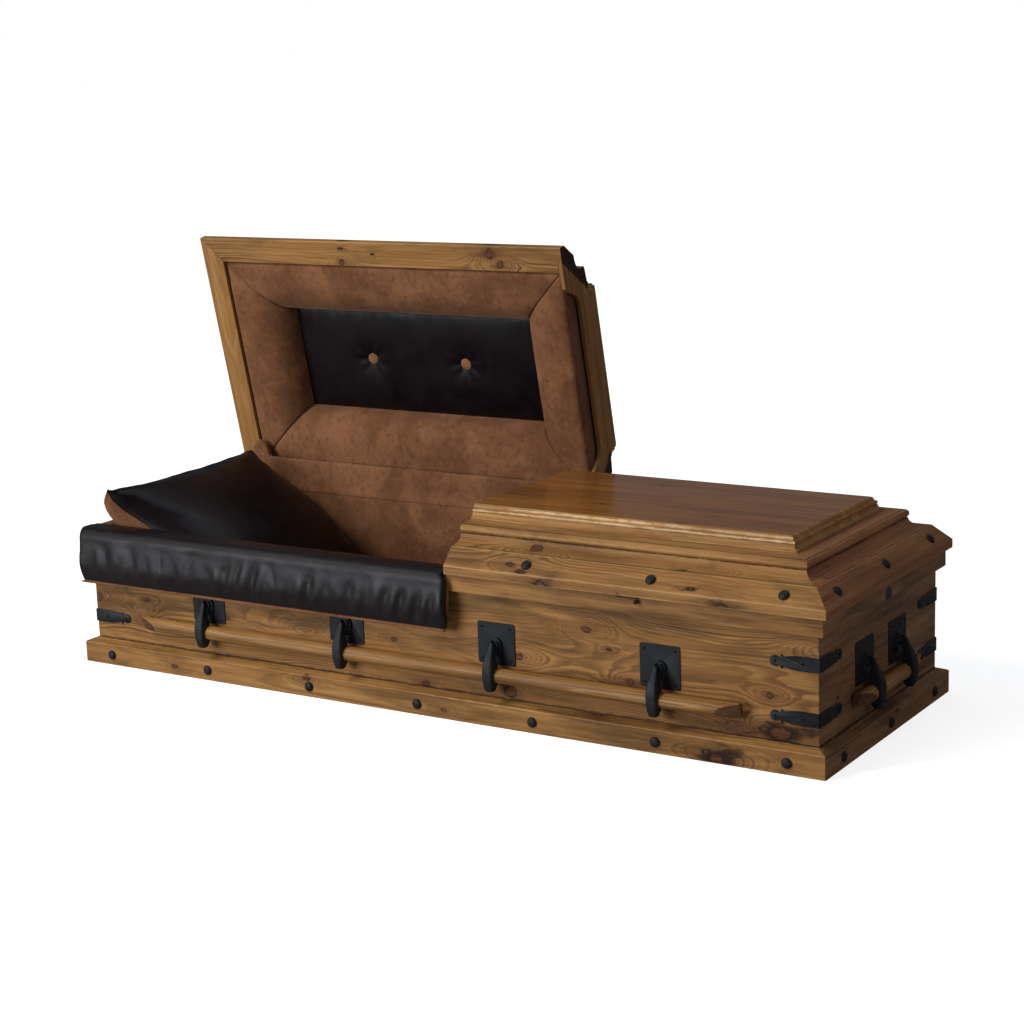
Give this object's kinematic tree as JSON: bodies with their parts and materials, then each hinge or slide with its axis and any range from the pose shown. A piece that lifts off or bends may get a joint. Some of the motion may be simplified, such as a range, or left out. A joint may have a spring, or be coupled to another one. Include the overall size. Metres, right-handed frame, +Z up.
{
  "type": "wooden coffin",
  "caption": "Rustic knotty pine casket with a lid in two halves, black iron swing handles with wooden bars, suede lining, leather pillow and a leather apron over the front rail.",
  "frame": {"origin": "centre of the underside, on the floor plane", "axes": "+X along the casket towards the foot end, -Y the front where the lids open, +Z up"},
  "size_m": [2.1636, 0.8561, 1.067],
  "materials": {
    "pine": "stained knotty pine, satin varnish",
    "iron": "matt black",
    "suede": "brushed brown suede cloth",
    "leather": "very dark brown, soft sheen"
  },
  "bodies": {
    "case": {"apron": "leather", "back_handle_plate_1": "iron", "back_handle_plate_2": "iron", "back_handle_plate_3": "iron", "back_handle_plate_4": "iron", "bottom_board": "pine", "case_lining": "suede", "foot_handle_plate_1": "iron", "foot_handle_plate_2": "iron", "front_handle_plate_1": "iron", "front_handle_plate_2": "iron", "front_handle_plate_3": "iron", "front_handle_plate_4": "iron", "head_handle_plate_1": "iron", "head_handle_plate_2": "iron", "hinge_fixed_leaf": "iron", "lining_flap": "suede", "pillow": "leather", "plinth_back": "pine", "plinth_foot": "pine", "plinth_front": "pine", "plinth_head": "pine", "rail_back": "pine", "rail_foot": "pine", "rail_front": "pine", "rail_head": "pine", "wall_back": "pine", "wall_foot": "pine", "wall_front": "pine", "wall_head": "pine"},
    "head_lid": {"head_lid_arch_board": "pine", "head_lid_hinge_leaf": "iron", "head_lid_lining": "suede", "head_lid_moulding_back": "pine", "head_lid_moulding_end": "pine", "head_lid_moulding_front": "pine", "head_lid_panel": "pine"},
    "foot_lid": {"foot_lid_arch_board": "pine", "foot_lid_hinge_leaf": "iron", "foot_lid_lining": "suede", "foot_lid_moulding_back": "pine", "foot_lid_moulding_end": "pine", "foot_lid_moulding_front": "pine", "foot_lid_panel": "pine"},
    "front_handle": {"front_handle_arm_1": "iron", "front_handle_arm_2": "iron", "front_handle_arm_3": "iron", "front_handle_arm_4": "iron", "front_handle_bar": "pine"},
    "back_handle": {"back_handle_arm_1": "iron", "back_handle_arm_2": "iron", "back_handle_arm_3": "iron", "back_handle_arm_4": "iron", "back_handle_bar": "pine"},
    "head_handle": {"head_handle_arm_1": "iron", "head_handle_arm_2": "iron", "head_handle_bar": "pine"},
    "foot_handle": {"foot_handle_arm_1": "iron", "foot_handle_arm_2": "iron", "foot_handle_bar": "pine"}
  },
  "joints": [
    {"name": "head_lid_hinge", "type": "hinge", "parent": "case", "child": "head_lid", "pos_m": [0, 0.3578, 0.3542], "axis": [1, 0, 0], "range_deg": [0, 77.8], "deforming": ["pillow", "apron", "lining_flap"]},
    {"name": "foot_lid_hinge", "type": "hinge", "parent": "case", "child": "foot_lid", "pos_m": [0, 0.3578, 0.3542], "axis": [-1, 0, 0], "range_deg": [0, 77.8]},
    {"name": "front_handle_swing", "type": "hinge", "parent": "case", "child": "front_handle", "pos_m": [0, -0.352, 0.197], "axis": [-1, 0, 0], "range_deg": [0, 80]},
    {"name": "back_handle_swing", "type": "hinge", "parent": "case", "child": "back_handle", "pos_m": [0, 0.352, 0.197], "axis": [1, 0, 0], "range_deg": [0, 80]},
    {"name": "head_handle_swing", "type": "hinge", "parent": "case", "child": "head_handle", "pos_m": [-1.052, 0, 0.197], "axis": [0, 1, 0], "range_deg": [0, 80]},
    {"name": "foot_handle_swing", "type": "hinge", "parent": "case", "child": "foot_handle", "pos_m": [1.052, 0, 0.197], "axis": [0, -1, 0], "range_deg": [0, 80]}
  ]
}
